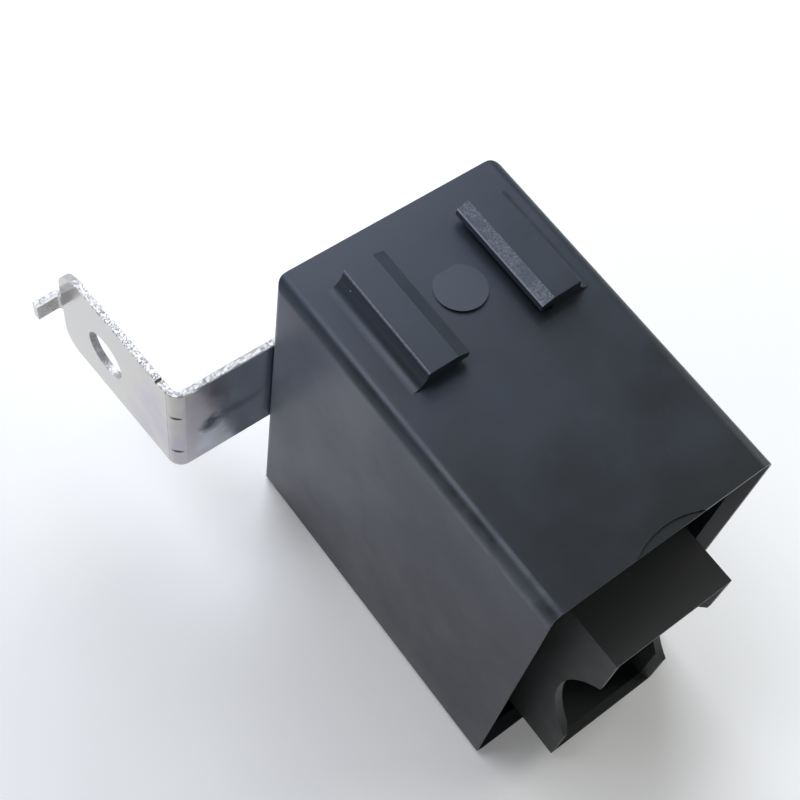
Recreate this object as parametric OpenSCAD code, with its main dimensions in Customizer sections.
// Door lock relay: a moulded case with slide rails, a plug-in connector base, a folded
// mounting bracket, and two small relay elements on a circuit board inside.
// The case lies on its back face at z = 0. The rails face up, the connector opens
// towards -Y and the bracket is staked to the closed end at +Y.

/* [Case] */
// Width of the case, across the rails
case_w = 33.1; // [30:0.1:44]
// Length of the case, from the open rim to the closed end
case_l = 50; // [49:0.5:70]
// Height of the case, from the back face to the rail face
case_h = 52.6; // [48:0.1:70]
// Wall of the case behind the connector base
case_wall = 1.7; // [1.2:0.1:2.2]
// How much the wall thins where the connector base plugs in
mouth_step = 0.3; // [0.2:0.05:0.5]
// Radius of the four long edges
case_edge_r = 1.8; // [0.8:0.1:3]
// Radius of the closed end's upright edge on the bracket side
case_end_r = 1.2; // [0.5:0.1:2]
// Radius of the closed end's upright edge on the far side
case_far_r = 2.2; // [0.5:0.1:3]

/* [Rails] */
// Sideways place of the channel between the rails
rail_mid_x = 0.6; // [-2:0.05:2]
// Clear width of the channel between the rail lips
rail_gap = 10.7; // [8:0.1:12]
// Width of one rail
rail_w = 5.8; // [4:0.05:7]
// Height of the rails above the case
rail_h = 2.6; // [2.4:0.1:4]
// Length of the rails
rail_l = 16; // [10:0.5:24]
// Distance from the closed end to the rails
rail_inset = 4.7; // [2:0.1:10]
// Width of the sloped strip on each lip
lip_slope_w = 1.7; // [1:0.05:3]
// How far the sloped strip falls towards the channel
lip_slope_drop = 0.6; // [0.2:0.05:0.9]
// Height of the groove under each lip
groove_h = 1.05; // [0.6:0.05:1.3]
// Depth of the groove under each lip
groove_d = 2.1; // [1:0.1:3]
// Radius of the locking ramp in the channel
ramp_r = 3.3; // [2:0.1:4]
// Height of the locking ramp at its steep side
ramp_h = 0.4; // [0.3:0.1:1.4]

/* [Bracket] */
// Thickness of the sheet
sheet_t = 1; // [0.8:0.1:1.6]
// Width of the strip
strip_w = 18.4; // [14:0.1:24]
// Height of the middle of the strip above the back face
strip_z = 27.8; // [20:0.1:34]
// How far the outer corner of the bend stands out from the case side
arm_reach = 13.95; // [8:0.05:24]
// Length of the ear, from the corner of the bend to its tip
ear_l = 24.6; // [20:0.2:34]
// Lean of the ear away from square
ear_lean = 3; // [0:0.5:8]
// Inner radius of the bend
bend_r = 0.9; // [0.5:0.1:2]
// Diameter of the bolt hole, clearance for an M6 bolt
bolt_hole_d = 7; // [5.5:0.1:9]
// Distance of the bolt hole from the corner of the bend
bolt_hole_u = 15; // [11:0.1:20]
// How far the bolt hole and the tab lie below the middle of the strip
hole_offset = 0.3; // [0:0.1:2]
// Radius of the tip corner on the rail side
tip_front_r = 5; // [1:0.1:7]
// Radius of the tip corner on the back side
tip_back_r = 3.2; // [1:0.1:7]
// Width of the anti-rotation tab
tab_w = 2.8; // [2:0.1:5]
// How far the tab stands out of the ear
tab_l = 3.3; // [2:0.1:6]
// Spacing of the two staked posts
post_pitch = 12; // [8:0.5:16]
// Diameter of the staked posts
post_d = 3.2; // [2.5:0.1:4]

/* [Connector] */
// Outer width of the shroud
shroud_w = 18.1; // [16.9:0.1:22]
// Outer height of the shroud
shroud_h = 36.8; // [35.8:0.1:42]
// Height of the shroud's lower wall above the back face
shroud_z = 3.2; // [2.4:0.1:8]
// Wall of the shroud
shroud_wall = 1.2; // [0.9:0.1:1.5]
// How far the shroud stands proud of the open rim
shroud_proud = 6.4; // [4:0.1:12]
// Radius of the finger notches
notch_r = 13.9; // [12:0.1:20]
// Depth of the finger notches
notch_d = 4.4; // [2:0.1:6]
// Depth of the base plate behind the open rim
plate_inset = 9; // [6:0.1:9.5]
// Thickness of the base plate
plate_t = 2; // [1.5:0.1:3]

/* [Terminals] */
// Width of the blades
blade_w = 6.3; // [4.8:0.1:6.8]
// Thickness of the blades
blade_t = 0.8; // [0.6:0.1:1]
// Pitch of the blades along the shroud
blade_pitch = 8.2; // [7.4:0.1:8.4]
// Spacing of the two rows
row_gap = 6.4; // [6:0.1:7]
// How far the blade tips lie inside the shroud's mouth
blade_inset = 8; // [0.5:0.1:9]

/* [Circuit board] */
// Thickness of the board
board_t = 1.6; // [1:0.1:2]
// Sideways place of the board's component face
board_x = -7.2; // [-8:0.1:-6]

/* [Relay elements] */
// Spacing of the two coil axes
coil_pitch = 22; // [18:0.5:24]
// Diameter of the core
core_d = 4.6; // [3:0.1:6]
// Diameter of the pole face
pole_d = 7.4; // [6.4:0.1:9]
// Outer diameter of the winding
coil_d = 11.8; // [9:0.1:12.4]
// Height of the winding
coil_h = 10; // [8:0.5:11]
// Thickness of the yoke
yoke_t = 1.5; // [1:0.1:1.6]
// Width of the yoke
yoke_w = 10; // [6:0.5:10]
// Thickness of the armature
armature_t = 1.2; // [0.8:0.1:1.4]
// Angle of the armature when the coil is off
open_angle = 4; // [3:0.5:4.5]

/* [Fits] */
// Gap between the connector base and the case
plug_gap = 0.1; // [0.05:0.01:0.2]
// Gap all round a part that sits in a hole or slot
seat_gap = 0.05; // [0.03:0.01:0.1]
// Gap between a closed contact pair
touch_gap = 0.08; // [0.05:0.01:0.15]

/* [Hidden] */

$fn = 48;
// Extra length of a cutter past the face that it cuts
over = 1;

// Case, inside
mouth_wall = case_wall - mouth_step;
rim_y = -case_l / 2;
end_y = case_l / 2;
plate_y = rim_y + plate_inset;
seat_y = plate_y + plate_t;
corner_fill = 0.4;
cavity_r = case_edge_r - mouth_wall + corner_fill;
rib_t = 1.35;
rib_l = 3.8;
rib_h = 12;

// Lead-in round the case's rim: the width left of the rim, and its length
rim_land = 0.45;
rim_guard = 0.35;
lead_l = 1.6;

// Latches between the case and the connector base
latch_w = 9;
latch_h = 0.5;
latch_inset = 0.3;
latch_flat = 0.4;

// Rails: the round outer edge, and the fillet under it, which takes the height or the room
// beside the rail, whichever is less
rail_edge_r = 0.2;
rail_out = rail_gap / 2 + rail_w;
foot_clear = 0.1;
foot_room = case_w / 2 - case_edge_r - abs(rail_mid_x) - rail_out;
rail_foot_r = min(rail_h - rail_edge_r - foot_clear, foot_room);
// How far the fillet sinks into its neighbours
foot_sink = 0.01;
// How far the ramp's flush side sinks into the rail face
ramp_sink = 0.02;

// Crescent on the rail face, at the rim
crescent_r = 11.4;
crescent_w = 1.25;
crescent_d = 0.25;

// Staked posts
head_over = 1;
head_d = post_d + 2 * head_over;
head_h = 1.1;
post_hole_d = post_d + 4 * seat_gap;
post_shift = -2;
post_x = [post_shift - post_pitch / 2, post_shift + post_pitch / 2];
arm_margin = 3.8;
arm_end_x = post_x[1] + post_hole_d / 2 + arm_margin;
arm_end_r = 2;

// Bracket, bend and ear
strip_lo = strip_z - strip_w / 2;
corner_x = -case_w / 2 - arm_reach;
bend_out_r = bend_r + sheet_t;
bend_x = corner_x + bend_out_r * (1 - sin(ear_lean)) / cos(ear_lean);
bend_thin = 0.02;
bend_lap = 0.12;
ear_start = bend_out_r * cos(ear_lean) - (bend_x - corner_x) * sin(ear_lean) - bend_lap;
arm_start = bend_x - bend_lap;
dart_r = 0.45;
dart_d = 0.32;
dart_pitch = 9;
dart_reach = 0.6;
dart_drop = 0.6;
tab_bend_r = 0.5;
nick_u = 3.3;
nick_w = 0.5;
nick_d = 0.45;
arm_nick_x = bend_x + 0.9;
arm_nick_d = 0.25;
edge_break = 0.1;

// Shroud
mouth_y = rim_y - shroud_proud;
shroud_mid_z = shroud_z + shroud_h / 2;
key_w = 1.6;
key_h = 1;
shroud_land = 0.6;
shroud_lead_l = 1.2;

// Terminals
row_x = [-row_gap / 2, row_gap / 2];
column_z = [for (i = [0:3]) shroud_mid_z + (i - 1.5) * blade_pitch];
tail_w = 2;
tail_out = 0.9;
root_y = seat_y + 1.2;
tail_y = [root_y + 1, root_y + 3.4];
tip_l = 1.2;
tip_in = 1;

// Circuit board
board_back_x = board_x - board_t;
board_y0 = seat_y + 0.9;
board_y1 = end_y - case_wall - 1.8;
board_z0 = case_wall + 1.7;
board_z1 = case_h - case_wall - 1.7;
arm_l = 9.4;
arm_w = 3;
groove_wall = 1.5;
groove_bite = 1.5;

// Relay element, heights above the board
coil_z = [case_h / 2 - coil_pitch / 2, case_h / 2 + coil_pitch / 2];
yoke_h0 = 0.8;
flange_t = 1;
flange_h0 = yoke_h0 + yoke_t;
coil_h0 = flange_h0 + seat_gap + flange_t;
coil_h1 = coil_h0 + coil_h + 2 * seat_gap;
pole_h0 = coil_h1 + flange_t + seat_gap;
pole_t = 1;
pole_h1 = pole_h0 + pole_t;
tube_d = core_d + 1.9;
flange_w = coil_d + 1.2;
flange_r = 1.5;
foot_w = max(flange_w, yoke_w + 3);
foot_h0 = 0.1;
pin_d = 0.7;
pin_inset = 0.9;
pin_wrap = 0.6;
pin_x = foot_w / 2 - pin_inset;
pin_y = pin_inset - foot_w / 2;
rivet_d = core_d + 1.2;
rivet_h = 0.5;
yoke_in_y = flange_w / 2 + 0.7;
yoke_out_y = yoke_in_y + yoke_t;
pivot_y = yoke_out_y;
pivot_h = pole_h1 + 0.03;
armature_end_y = -pole_d / 2 - 1.5;
tail_reach = 3;
tail_margin = 0.4;
tail_end_y = pivot_y + tail_reach + tail_margin;
armature_tail_w = 3;
armature_clear = 1.2;
coil_y = end_y - case_wall - armature_clear - tail_end_y;
leaf_t = 0.3;
leaf_h0 = pivot_h + armature_t;
leaf_w = yoke_w - 2;
contact_y = armature_end_y - 4.2;
leaf_end_y = contact_y - 1.9;
contact_d = 3.2;
contact_t = 0.6;
shank_d = 1.4;
stake_d = 1.5;
stake_head_d = 2.4;
stake_head_h = 0.35;
stake_x = leaf_w / 2 - 1.6;
leaf_root_y = 3.2;
neck_y0 = armature_end_y - 1.6;
neck_y1 = armature_end_y + 1;
button_d = contact_d + 0.2;
strip_t = 0.75;
contact_strip_w = 4;
open_top_h = leaf_h0 - contact_t - touch_gap;
lift = (pivot_y - contact_y + contact_d / 2) * sin(open_angle);
closed_low_h = pivot_h + lift + (armature_t + leaf_t + contact_t) * cos(open_angle) + touch_gap;
open_post_y = leaf_end_y - 1.9;
closed_post_y = open_post_y - 2;
strip_reach_y = contact_y + 1.8;
solder_l = 1;

// Return spring
spring_d = 3;
wire_d = 0.4;
spring_y = pivot_y + 1.9;
lug_h = 4.6;
lug_t = 0.8;
lug_w = 3;
eye_d = 1.2;
spring_turns = 8;
spring_sides = 6;
spring_steps = 10;
spring_h0 = lug_h + lug_t + 0.9;
spring_h1 = pivot_h - 1.3;
hook_l = 0.9;
hook_r = 0.3;
leg_l = 0.6;

// Diodes, end to end between the two elements, measured from the board's far edge
diode_d = 2.6;
diode_l = 4.6;
diode_h = 1.9;
diode_span = 8;
diode_lead_d = 0.7;
diode_gap = 0.6;
diode_edge_gap = 2.5;
diode_x = foot_w / 2 + diode_gap + diode_d / 2;
diode_y = board_y1 - diode_edge_gap - (diode_span + diode_lead_d) / 2 - coil_y;
diode_step = diode_span + diode_lead_d + diode_gap;
lead_hole_d = 0.9;

// A flat outline in the XZ plane carried from y0 to y1
module along_y(y0, y1) {
    translate([0, y1, 0])
        rotate([90, 0, 0])
            linear_extrude(y1 - y0)
                children();
}

// A flat outline in the YZ plane carried from x0 to x1
module along_x(x0, x1) {
    translate([x0, 0, 0])
        rotate([90, 0, 90])
            linear_extrude(x1 - x0)
                children();
}

// A rectangle with its lower left corner at the origin and four round corners
module round_rect(w, h, r) {
    translate([r, 0])
        square([w - 2 * r, h]);
    translate([0, r])
        square([w, h - 2 * r]);
    for (x = [r, w - r], y = [r, h - r])
        translate([x, y])
            circle(r);
}

// A box from corner a to corner b
module block(a, b) {
    translate(a)
        cube(b - a);
}

// A square funnel that cuts a lead-in into a mouth at y0: it is w by h at a depth l, and
// wider by out on each side at the mouth
module funnel(w, h, y0, out, l) {
    grow = out * (1 + over / l);
    shrink = out * over / l;
    intersection() {
        translate([0, 0, -h])
            linear_extrude(2 * h)
                polygon([[-w / 2 - grow, y0 - over], [w / 2 + grow, y0 - over],
                         [w / 2 - shrink, y0 + l + over], [shrink - w / 2, y0 + l + over]]);
        along_x(-w, w)
            polygon([[y0 - over, -h / 2 - grow], [y0 + l + over, shrink - h / 2],
                     [y0 + l + over, h / 2 - shrink], [y0 - over, h / 2 + grow]]);
    }
}

// A cylinder along Y from y0 to y1
module rod_y(d, y0, y1) {
    translate([0, y1, 0])
        rotate([90, 0, 0])
            cylinder(d = d, h = y1 - y0);
}

// The parts of one relay element are drawn upright, with the board's face at z = 0 and
// the coil's axis on z, and laid into the case here
module in_element(i) {
    translate([board_x, coil_y, coil_z[i]])
        rotate([0, 90, 0])
            children();
}

// A part of the armature, drawn closed and tilted to its open position here
module tilted_open() {
    translate([0, pivot_y, pivot_h])
        rotate([-open_angle, 0, 0])
            translate([0, -pivot_y, -pivot_h])
                children();
}

// Outline of the case from above: square at the open rim, round at the closed end
module plan_outline() {
    y0 = rim_y - over;
    middle_w = case_w - case_end_r - case_far_r;
    translate([-case_w / 2, y0])
        square([case_end_r, end_y - case_end_r - y0]);
    translate([-case_w / 2 + case_end_r, y0])
        square([middle_w, end_y - y0]);
    translate([case_w / 2 - case_far_r, y0])
        square([case_far_r, end_y - case_far_r - y0]);
    translate([-case_w / 2 + case_end_r, end_y - case_end_r])
        circle(case_end_r);
    translate([case_w / 2 - case_far_r, end_y - case_far_r])
        circle(case_far_r);
}

// Outer form of the case: the rounded section carried along it, within the plan outline
module case_outer() {
    intersection() {
        translate([-case_w / 2, 0, 0])
            along_y(rim_y, end_y)
                round_rect(case_w, case_h, case_edge_r);
        translate([0, 0, -over])
            linear_extrude(case_h + 2 * over)
                plan_outline();
    }
}

// Section of one rail, seen along the case, with the channel's middle at x = 0
module rail_section() {
    inner = rail_gap / 2;
    edge_x = rail_out - rail_edge_r;
    edge_z = rail_h - rail_edge_r;
    polygon([[inner + groove_d, -over / 2],
             [rail_out, -over / 2],
             [rail_out, edge_z],
             [edge_x, edge_z],
             [edge_x, rail_h],
             [inner + lip_slope_w, rail_h],
             [inner, rail_h - lip_slope_drop],
             [inner, groove_h],
             [inner + groove_d, groove_h]]);
    translate([edge_x, edge_z])
        circle(rail_edge_r);
    // Fillet along the outer foot
    difference() {
        translate([edge_x, -over / 2])
            square([rail_edge_r + rail_foot_r, over / 2 + rail_foot_r]);
        translate([rail_out + rail_foot_r - foot_sink, rail_foot_r - foot_sink])
            circle(rail_foot_r);
    }
}

module rails() {
    y1 = end_y - rail_inset;
    for (side = [0, 1])
        translate([rail_mid_x, 0, case_h])
            mirror([side, 0, 0])
                along_y(y1 - rail_l, y1)
                    rail_section();
}

// Round locking ramp: flush towards the closed end, steep towards the open rim
module locking_ramp() {
    translate([rail_mid_x, end_y - rail_inset - rail_l / 2, case_h])
        intersection() {
            translate([0, 0, -over / 2])
                cylinder(r = ramp_r, h = ramp_h + over);
            translate([0, ramp_r, -ramp_sink])
                rotate([-atan(ramp_h / (2 * ramp_r)), 0, 0])
                    translate([-2 * ramp_r, -4 * ramp_r, -ramp_h - 2 * over])
                        cube([4 * ramp_r, 8 * ramp_r, ramp_h + 2 * over]);
        }
}

// Ribs on the inside of the closed end that hold the board's edge
module board_ribs() {
    y1 = end_y - case_wall + over / 2;
    y0 = end_y - case_wall - rib_l;
    z0 = case_h / 2 - rib_h / 2;
    block([board_back_x - plug_gap - rib_t, y0, z0], [board_back_x - plug_gap, y1, z0 + rib_h]);
    block([board_x + plug_gap, y0, z0], [board_x + plug_gap + rib_t, y1, z0 + rib_h]);
}

// Blind pockets in the upper and lower walls, for the base's latches
module latch_pockets() {
    for (z = [mouth_wall - latch_h - plug_gap, case_h - mouth_wall - over])
        block([rail_mid_x - latch_w / 2 - plug_gap, plate_y + latch_inset - plug_gap, z],
              [rail_mid_x + latch_w / 2 + plug_gap, seat_y - latch_inset + plug_gap,
               z + latch_h + plug_gap + over]);
}

// Lead-in inside the rim, kept off the round edges
module rim_lead_in() {
    w = case_w - 2 * mouth_wall;
    h = case_h - 2 * mouth_wall;
    intersection() {
        translate([0, 0, case_h / 2])
            funnel(w, h, rim_y, mouth_wall - rim_land, lead_l);
        translate([-case_w / 2 + rim_guard, 0, rim_guard])
            along_y(rim_y - 2 * over, rim_y + lead_l + 2 * over)
                round_rect(case_w - 2 * rim_guard, case_h - 2 * rim_guard, case_edge_r - rim_guard);
    }
}

module case() {
    color([0.23, 0.25, 0.28]) {
        difference() {
            union() {
                case_outer();
                rails();
                locking_ramp();
            }
            translate([-case_w / 2 + case_wall, 0, case_wall])
                along_y(rim_y, end_y - case_wall)
                    round_rect(case_w - 2 * case_wall, case_h - 2 * case_wall, cavity_r);
            translate([-case_w / 2 + mouth_wall, 0, mouth_wall])
                along_y(rim_y - over, seat_y)
                    round_rect(case_w - 2 * mouth_wall, case_h - 2 * mouth_wall, cavity_r);
            rim_lead_in();
            latch_pockets();
            translate([rail_mid_x, rim_y + crescent_w - crescent_r, case_h - crescent_d])
                cylinder(r = crescent_r, h = over);
        }
        board_ribs();
        for (x = post_x)
            translate([x, 0, strip_z]) {
                rod_y(post_d, end_y - over / 2, end_y + sheet_t + over / 2);
                rod_y(head_d, end_y + sheet_t, end_y + sheet_t + head_h / 2);
                translate([0, end_y + sheet_t + head_h / 2, 0])
                    rotate([-90, 0, 0])
                        cylinder(d1 = head_d, d2 = post_d, h = head_h / 2);
            }
    }
}

// Places things drawn in the ear's own frame: x through the sheet from the outer face,
// y along the ear from the corner of the bend, z up from the lower edge of the strip
module in_ear() {
    translate([corner_x, end_y, strip_lo])
        rotate([0, 0, ear_lean])
            children();
}

// Section of the folded strip, seen from above, less a margin on both faces. The sheet is
// a little thinner in the bend and laps into both legs.
module strip_section(margin) {
    reach = 2 * bend_out_r;
    left_t = sheet_t - 2 * margin;
    translate([arm_start, end_y + margin])
        square([arm_end_x - arm_start, left_t]);
    translate([corner_x, end_y])
        rotate(ear_lean)
            translate([margin, ear_start])
                square([left_t, ear_l - ear_start]);
    translate([bend_x, end_y + bend_out_r])
        intersection() {
            difference() {
                circle(bend_out_r - bend_thin - margin);
                circle(bend_r + bend_thin + margin);
            }
            polygon([[0, 0], [-reach * cos(ear_lean), -reach * sin(ear_lean)],
                     [-reach, -reach], [0, -reach]]);
        }
}

// Cuts one corner of a strip round: u along the strip to its end, z across it to its edge
module corner_cut(u, z, r, su, sz) {
    translate([0, u, z])
        mirror([0, su < 0 ? 1 : 0, 0])
            mirror([0, 0, sz < 0 ? 1 : 0])
                difference() {
                    block([-over, -r, -r], [sheet_t + over, over, over]);
                    translate([-2 * over, -r, -r])
                        rotate([0, 90, 0])
                            cylinder(r = r, h = sheet_t + 4 * over);
                }
}

// Tongue at the ear's tip, bent square to the outer side, seen from above
module tab_section() {
    out_r = tab_bend_r + sheet_t;
    root = ear_l - tip_back_r;
    difference() {
        translate([0, root])
            square([sheet_t, ear_l + out_r - root]);
        translate([-tab_bend_r, ear_l - over])
            square([out_r + over, out_r + 2 * over]);
    }
    translate([0, ear_l - over])
        square([sheet_t, over]);
    translate([-tab_bend_r, ear_l])
        intersection() {
            difference() {
                circle(out_r);
                circle(tab_bend_r);
            }
            square(out_r);
        }
    translate([-tab_l, ear_l + tab_bend_r])
        square([tab_l - tab_bend_r, sheet_t]);
}

module bracket() {
    hole_z = strip_w / 2 - hole_offset;
    color([0.78, 0.78, 0.77])
        difference() {
            union() {
                // The strip, and its sheared edges set back on both faces
                translate([0, 0, strip_lo + edge_break])
                    linear_extrude(strip_w - 2 * edge_break)
                        strip_section(0);
                translate([0, 0, strip_lo])
                    linear_extrude(strip_w)
                        strip_section(edge_break);
                in_ear()
                    translate([0, 0, hole_z - tab_w / 2])
                        linear_extrude(tab_w)
                            tab_section();
            }
            // Round corners at both ends of the strip
            in_ear() {
                corner_cut(ear_l, strip_w, tip_front_r, 1, 1);
                corner_cut(ear_l, 0, tip_back_r, 1, -1);
            }
            translate([arm_end_x, end_y, strip_lo])
                rotate([0, 0, -90])
                    mirror([1, 0, 0]) {
                        corner_cut(0, strip_w, arm_end_r, 1, 1);
                        corner_cut(0, 0, arm_end_r, 1, -1);
                    }
            in_ear()
                translate([-over, bolt_hole_u, hole_z])
                    rotate([0, 90, 0])
                        cylinder(d = bolt_hole_d, h = sheet_t + 2 * over);
            for (x = post_x)
                translate([x, 0, strip_z])
                    rod_y(post_hole_d, end_y - over, end_y + sheet_t + over);
            // Darts pressed into the outside of the bend
            for (side = [-1, 1])
                translate([bend_x, end_y + bend_out_r, strip_z - dart_drop + side * dart_pitch / 2])
                    rotate([0, 0, 225 + ear_lean / 2])
                        translate([bend_out_r + dart_r - dart_d, 0, 0])
                            rotate([90, 0, 0])
                                translate([0, 0, -2 * dart_reach])
                                    cylinder(r = dart_r, h = 4 * dart_reach);
            // Die marks across the sheared edge, on both sides of the bend
            in_ear()
                block([-over, nick_u, strip_w - nick_d], [sheet_t + over, nick_u + nick_w, strip_w + over]);
            block([arm_nick_x, end_y - over, strip_lo + strip_w - arm_nick_d],
                  [arm_nick_x + nick_w, end_y + sheet_t + over, strip_lo + strip_w + over]);
        }
}

module shroud_tube() {
    difference() {
        translate([-shroud_w / 2, 0, shroud_z])
            along_y(mouth_y, plate_y + over)
                square([shroud_w, shroud_h]);
        translate([-shroud_w / 2 + shroud_wall, 0, shroud_z + shroud_wall])
            along_y(mouth_y - over, plate_y)
                square([shroud_w - 2 * shroud_wall, shroud_h - 2 * shroud_wall]);
        translate([0, 0, shroud_mid_z])
            funnel(shroud_w - 2 * shroud_wall, shroud_h - 2 * shroud_wall, mouth_y,
                   shroud_wall - shroud_land, shroud_lead_l);
        // Finger notches through both side walls
        translate([0, mouth_y + notch_d - notch_r, shroud_mid_z])
            rotate([0, 90, 0])
                cylinder(r = notch_r, h = shroud_w + 2 * over, center = true, $fn = 96);
    }
    // Key rib inside the upper wall
    block([-key_w / 2, mouth_y + notch_d, shroud_z + shroud_h - shroud_wall - key_h],
          [key_w / 2, plate_y + over, shroud_z + shroud_h - shroud_wall + shroud_wall / 2]);
}

// Arm on the base that holds one long edge of the board in a groove
module board_arm(side) {
    z_edge = side < 0 ? board_z0 : board_z1;
    z_in = z_edge - side * groove_bite;
    z_out = z_edge + side * (arm_w - groove_bite);
    groove_in = z_in - side * over;
    groove_out = z_edge + side * plug_gap;
    difference() {
        block([board_back_x - plug_gap - groove_wall, seat_y - over / 2, min(z_in, z_out)],
              [board_x + plug_gap + groove_wall, seat_y + arm_l, max(z_in, z_out)]);
        block([board_back_x - plug_gap, board_y0 - plug_gap, min(groove_in, groove_out)],
              [board_x + plug_gap, seat_y + arm_l + over, max(groove_in, groove_out)]);
    }
}

module connector_base() {
    gap = mouth_wall + plug_gap;
    color([0.16, 0.17, 0.19])
        difference() {
            union() {
                translate([-case_w / 2 + gap, 0, gap])
                    along_y(plate_y, seat_y)
                        round_rect(case_w - 2 * gap, case_h - 2 * gap, cavity_r);
                shroud_tube();
                board_arm(-1);
                board_arm(1);
                // Latches on the plate's upper and lower edges
                for (side = [-1, 1])
                    translate([rail_mid_x - latch_w / 2, 0, case_h / 2])
                        mirror([0, 0, side < 0 ? 1 : 0])
                            along_x(0, latch_w)
                                polygon([[plate_y + latch_inset, case_h / 2 - gap - over / 2],
                                         [plate_y + latch_inset, case_h / 2 - gap + latch_h],
                                         [plate_y + latch_inset + latch_flat, case_h / 2 - gap + latch_h],
                                         [seat_y - latch_inset, case_h / 2 - gap],
                                         [seat_y - latch_inset, case_h / 2 - gap - over / 2]]);
            }
            for (x = row_x, z = column_z)
                block([x - blade_t / 2 - seat_gap, plate_y - over, z - blade_w / 2 - seat_gap],
                      [x + blade_t / 2 + seat_gap, seat_y + over, z + blade_w / 2 + seat_gap]);
        }
}

// Blade terminal: the blade points out of the shroud, its narrow tail bends to the board
module terminal(row, column) {
    tip_y = mouth_y + blade_inset;
    z0 = column_z[column];
    x0 = row_x[row];
    color([0.76, 0.74, 0.7]) {
        translate([x0 - blade_t / 2, 0, z0])
            along_x(0, blade_t)
                polygon([[tip_y, tip_in - blade_w / 2], [tip_y + tip_l, -blade_w / 2],
                         [root_y, -blade_w / 2], [root_y, blade_w / 2],
                         [tip_y + tip_l, blade_w / 2], [tip_y, blade_w / 2 - tip_in]]);
        block([x0 - blade_t / 2, root_y - over / 2, z0 - tail_w / 2],
              [x0 + blade_t / 2, tail_y[row] + blade_t, z0 + tail_w / 2]);
        block([board_x, tail_y[row], z0 - tail_w / 2],
              [x0, tail_y[row] + blade_t, z0 + tail_w / 2]);
        block([board_back_x - solder_l, tail_y[row], z0 - tail_out / 2],
              [board_x + over / 2, tail_y[row] + blade_t, z0 + tail_out / 2]);
    }
}

// A lead hole through the board for something at (x, y) of an element
module lead_hole(x, y, d) {
    translate([x, y, -board_t - over])
        cylinder(d = d, h = board_t + 2 * over);
}

module circuit_board() {
    color([0.16, 0.36, 0.2])
        difference() {
            block([board_back_x, board_y0, board_z0], [board_x, board_y1, board_z1]);
            for (row = [0, 1], z = column_z)
                translate([board_back_x - over, tail_y[row] + blade_t / 2, z])
                    rotate([0, 90, 0])
                        cylinder(d = norm([blade_t, tail_out]) + 4 * seat_gap, h = board_t + 2 * over);
            for (i = [0, 1])
                in_element(i) {
                    for (y = [open_post_y, closed_post_y])
                        lead_hole(0, y + strip_t / 2, norm([strip_t, tail_out]) + 4 * seat_gap);
                    for (side = [-1, 1])
                        lead_hole(side * pin_x, pin_y, pin_d + 4 * seat_gap);
                    for (y = [-diode_span / 2, diode_span / 2])
                        translate(diode_place(i))
                            lead_hole(0, y, lead_hole_d);
                }
        }
}

// Bobbin: a tube with two flanges, on a foot that straddles the yoke
module bobbin() {
    color([0.83, 0.8, 0.72])
        difference() {
            union() {
                block([-foot_w / 2, -foot_w / 2, foot_h0], [foot_w / 2, flange_w / 2, coil_h0 - seat_gap]);
                translate([-flange_w / 2, -flange_w / 2, coil_h1 + seat_gap])
                    linear_extrude(flange_t - seat_gap)
                        round_rect(flange_w, flange_w, flange_r);
                cylinder(d = tube_d, h = pole_h0 - seat_gap);
            }
            // Channel for the yoke's lower leg, open to the back
            block([-yoke_w / 2 - seat_gap, -yoke_w / 2 - seat_gap, -over],
                  [yoke_w / 2 + seat_gap, foot_w, flange_h0 + seat_gap]);
            translate([0, 0, -over])
                cylinder(d = core_d + 2 * seat_gap, h = pole_h1 + 2 * over);
            for (side = [-1, 1])
                translate([side * pin_x, pin_y, -over])
                    cylinder(d = pin_d + 2 * seat_gap, h = coil_h0 + 2 * over);
        }
}

module coil() {
    color([0.72, 0.38, 0.2])
        translate([0, 0, coil_h0])
            difference() {
                cylinder(d = coil_d, h = coil_h);
                translate([0, 0, -over])
                    cylinder(d = tube_d + 2 * seat_gap, h = coil_h + 2 * over);
            }
}

module coil_pins() {
    color([0.76, 0.74, 0.7])
        for (side = [-1, 1])
            translate([side * pin_x, pin_y, -board_t - solder_l])
                cylinder(d = pin_d, h = board_t + solder_l + coil_h0 + pin_wrap);
}

// Core: a turned pin, headed at the pole face and riveted under the yoke
module core() {
    color([0.6, 0.6, 0.62]) {
        translate([0, 0, pole_h0])
            cylinder(d = pole_d, h = pole_t);
        translate([0, 0, yoke_h0 - rivet_h / 2])
            cylinder(d = core_d, h = pole_h0 + pole_t / 2 - yoke_h0 + rivet_h / 2);
        translate([0, 0, yoke_h0 - rivet_h])
            cylinder(d = rivet_d, h = rivet_h);
    }
}

// Yoke: one folded steel strip, with a lug for the return spring
module yoke() {
    color([0.66, 0.66, 0.67])
        difference() {
            union() {
                block([-yoke_w / 2, -yoke_w / 2, yoke_h0], [yoke_w / 2, yoke_out_y, flange_h0]);
                block([-yoke_w / 2, yoke_in_y, yoke_h0], [yoke_w / 2, yoke_out_y, pole_h1]);
                block([-lug_w / 2, yoke_in_y + yoke_t / 2, lug_h],
                      [lug_w / 2, spring_y + lug_w / 2, lug_h + lug_t]);
            }
            translate([0, 0, -over])
                cylinder(d = core_d + 2 * seat_gap, h = flange_h0 + 2 * over);
            translate([0, spring_y, lug_h - over])
                cylinder(d = eye_d, h = lug_t + 2 * over);
        }
}

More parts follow.
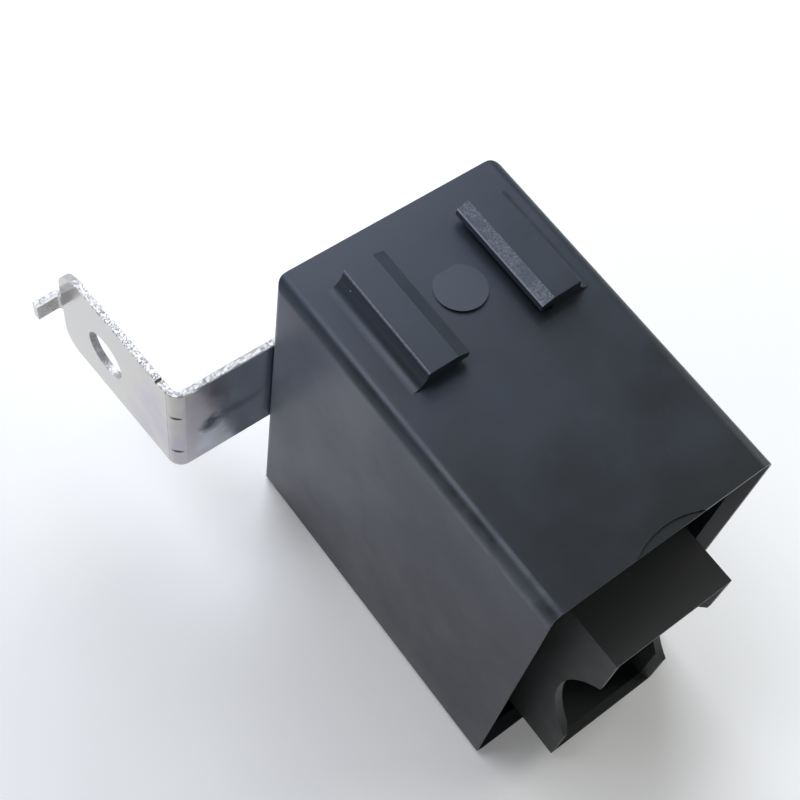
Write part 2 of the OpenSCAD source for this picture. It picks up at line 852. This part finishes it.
// Armature: a flat plate that tilts on the yoke's edge, with two staked bosses
module armature() {
    color([0.66, 0.66, 0.67])
        tilted_open() {
            difference() {
                union() {
                    block([-yoke_w / 2, armature_end_y, pivot_h], [yoke_w / 2, pivot_y, leaf_h0]);
                    block([-armature_tail_w / 2, pivot_y - over, pivot_h],
                          [armature_tail_w / 2, tail_end_y, leaf_h0]);
                }
                translate([0, spring_y, pivot_h - over])
                    cylinder(d = eye_d, h = armature_t + 2 * over);
            }
            for (side = [-1, 1])
                translate([side * stake_x, 0, leaf_h0 - over / 2]) {
                    cylinder(d = stake_d, h = over / 2 + leaf_t + stake_head_h / 2);
                    translate([0, 0, over / 2 + leaf_t])
                        cylinder(d = stake_head_d, h = stake_head_h);
                }
        }
}

// Moving leaf: thin spring strip staked to the armature, narrowed towards its contact
module moving_leaf() {
    color([0.78, 0.55, 0.3])
        tilted_open()
            translate([0, 0, leaf_h0])
                difference() {
                    linear_extrude(leaf_t)
                        polygon([[-leaf_w / 2, leaf_root_y], [leaf_w / 2, leaf_root_y],
                                 [leaf_w / 2, neck_y1], [contact_strip_w / 2, neck_y0],
                                 [contact_strip_w / 2, leaf_end_y], [-contact_strip_w / 2, leaf_end_y],
                                 [-contact_strip_w / 2, neck_y0], [-leaf_w / 2, neck_y1]]);
                    for (side = [-1, 1])
                        translate([side * stake_x, 0, -over])
                            cylinder(d = stake_d + 2 * seat_gap, h = leaf_t + 2 * over);
                    translate([0, contact_y, -over])
                        cylinder(d = shank_d + 2 * seat_gap, h = leaf_t + 2 * over);
                }
}

// Moving contact: a silver rivet with a head on each side of the leaf
module moving_contact() {
    color([0.85, 0.85, 0.83])
        tilted_open()
            translate([0, contact_y, leaf_h0]) {
                translate([0, 0, -contact_t])
                    cylinder(d = contact_d, h = contact_t);
                translate([0, 0, leaf_t])
                    cylinder(d = contact_d, h = contact_t);
                translate([0, 0, -contact_t / 2])
                    cylinder(d = shank_d, h = leaf_t + contact_t);
            }
}

// Fixed contact: a standing strip that bends towards the coil and carries a button,
// with a narrow tail through the board
module fixed_contact(post_y, strip_h, button_h0, button_h1) {
    color([0.8, 0.6, 0.36]) {
        block([-contact_strip_w / 2, post_y, 0], [contact_strip_w / 2, post_y + strip_t, strip_h + strip_t]);
        block([-contact_strip_w / 2, post_y, strip_h],
              [contact_strip_w / 2, strip_reach_y, strip_h + strip_t]);
        block([-tail_out / 2, post_y, -board_t - solder_l], [tail_out / 2, post_y + strip_t, over / 2]);
        translate([0, contact_y, button_h0])
            cylinder(d = button_d, h = button_h1 - button_h0);
    }
}

module open_contact() {
    h = open_top_h - contact_t - strip_t;
    fixed_contact(open_post_y, h, h + strip_t / 2, open_top_h);
}

module closed_contact() {
    h = closed_low_h + contact_t;
    fixed_contact(closed_post_y, h, closed_low_h, h + strip_t / 2);
}

// Points of the return spring's wire: a hook under the lug's eye, the coil, and a hook
// over the armature's eye, each point with a direction square to the wire
function spring_path() = let(
    r = (spring_d - wire_d) / 2,
    low = lug_h - hook_r - leg_l,
    high = leaf_h0 + hook_r + wire_d / 2,
    steps = spring_turns * spring_steps)
    concat(
        [[[0, -hook_l, low], [0, 0, 1]],
         [[0, -hook_r / 3, low], [0, -1, 1]],
         [[0, 0, low + hook_r], [0, -1, 0]],
         [[0, 0, spring_h0 - leg_l], [0, -1, 0]]],
        [for (i = [0:steps]) let(a = 360 * i / spring_steps)
            [[r * sin(a), -r * cos(a), spring_h0 + (spring_h1 - spring_h0) * i / steps],
             [sin(a), -cos(a), 0]]],
        [[[0, 0, spring_h1 + leg_l], [0, -1, 0]],
         [[0, 0, high - hook_r], [0, -1, 0]],
         [[0, -hook_r / 3, high], [0, -1, -1]],
         [[0, -hook_l, high], [0, 0, -1]]]);

// A round wire swept along a path of [point, normal] pairs
module wire(path, d, sides) {
    last = len(path) - 1;
    rings = [for (i = [0:last]) let(
        t = path[min(i + 1, last)][0] - path[max(i - 1, 0)][0],
        u = t / norm(t),
        n0 = path[i][1] - u * (path[i][1] * u),
        n = n0 / norm(n0),
        b = cross(u, n))
        [for (k = [0:sides - 1]) path[i][0] + d / 2 * (n * cos(360 * k / sides) + b * sin(360 * k / sides))]];
    polyhedron(
        points = [for (ring = rings, p = ring) p],
        faces = concat(
            [[for (k = [0:sides - 1]) k]],
            [for (i = [0:last - 1], k = [0:sides - 1]) let(n = (k + 1) % sides)
                [i * sides + k, (i + 1) * sides + k, (i + 1) * sides + n, i * sides + n]],
            [[for (k = [sides - 1:-1:0]) last * sides + k]]),
        convexity = 10);
}

module return_spring() {
    color([0.7, 0.7, 0.72])
        translate([0, spring_y, 0])
            wire(spring_path(), wire_d, spring_sides);
}

// Place of an element's diode, on the side of the other element
function diode_place(i) = i == 0 ? [-diode_x, diode_y, 0] : [diode_x, diode_y - diode_step, 0];

// Suppression diode, lying along the board with its leads bent down
module diode(i) {
    color([0.12, 0.12, 0.13])
        translate(diode_place(i)) {
            translate([0, 0, diode_h]) {
                rod_y(diode_d, -diode_l / 2, diode_l / 2);
                rod_y(diode_lead_d, -(diode_span + diode_lead_d) / 2, (diode_span + diode_lead_d) / 2);
            }
            for (y = [-diode_span / 2, diode_span / 2])
                translate([0, y, -board_t - solder_l])
                    cylinder(d = diode_lead_d, h = board_t + solder_l + diode_h);
        }
}

case();
bracket();
connector_base();
terminal(0, 0);  // terminal_1
terminal(0, 1);  // terminal_2
terminal(0, 2);  // terminal_3
terminal(0, 3);  // terminal_4
terminal(1, 0);  // terminal_5
terminal(1, 1);  // terminal_6
terminal(1, 2);  // terminal_7
terminal(1, 3);  // terminal_8
circuit_board();
in_element(0) bobbin();  // lock_bobbin
in_element(0) coil();  // lock_coil
in_element(0) coil_pins();  // lock_coil_pins
in_element(0) core();  // lock_core
in_element(0) yoke();  // lock_yoke
in_element(0) armature();  // lock_armature
in_element(0) moving_leaf();  // lock_moving_leaf
in_element(0) moving_contact();  // lock_moving_contact
in_element(0) open_contact();  // lock_open_contact
in_element(0) closed_contact();  // lock_closed_contact
in_element(0) return_spring();  // lock_return_spring
in_element(0) diode(0);  // lock_diode
in_element(1) bobbin();  // unlock_bobbin
in_element(1) coil();  // unlock_coil
in_element(1) coil_pins();  // unlock_coil_pins
in_element(1) core();  // unlock_core
in_element(1) yoke();  // unlock_yoke
in_element(1) armature();  // unlock_armature
in_element(1) moving_leaf();  // unlock_moving_leaf
in_element(1) moving_contact();  // unlock_moving_contact
in_element(1) open_contact();  // unlock_open_contact
in_element(1) closed_contact();  // unlock_closed_contact
in_element(1) return_spring();  // unlock_return_spring
in_element(1) diode(1);  // unlock_diode
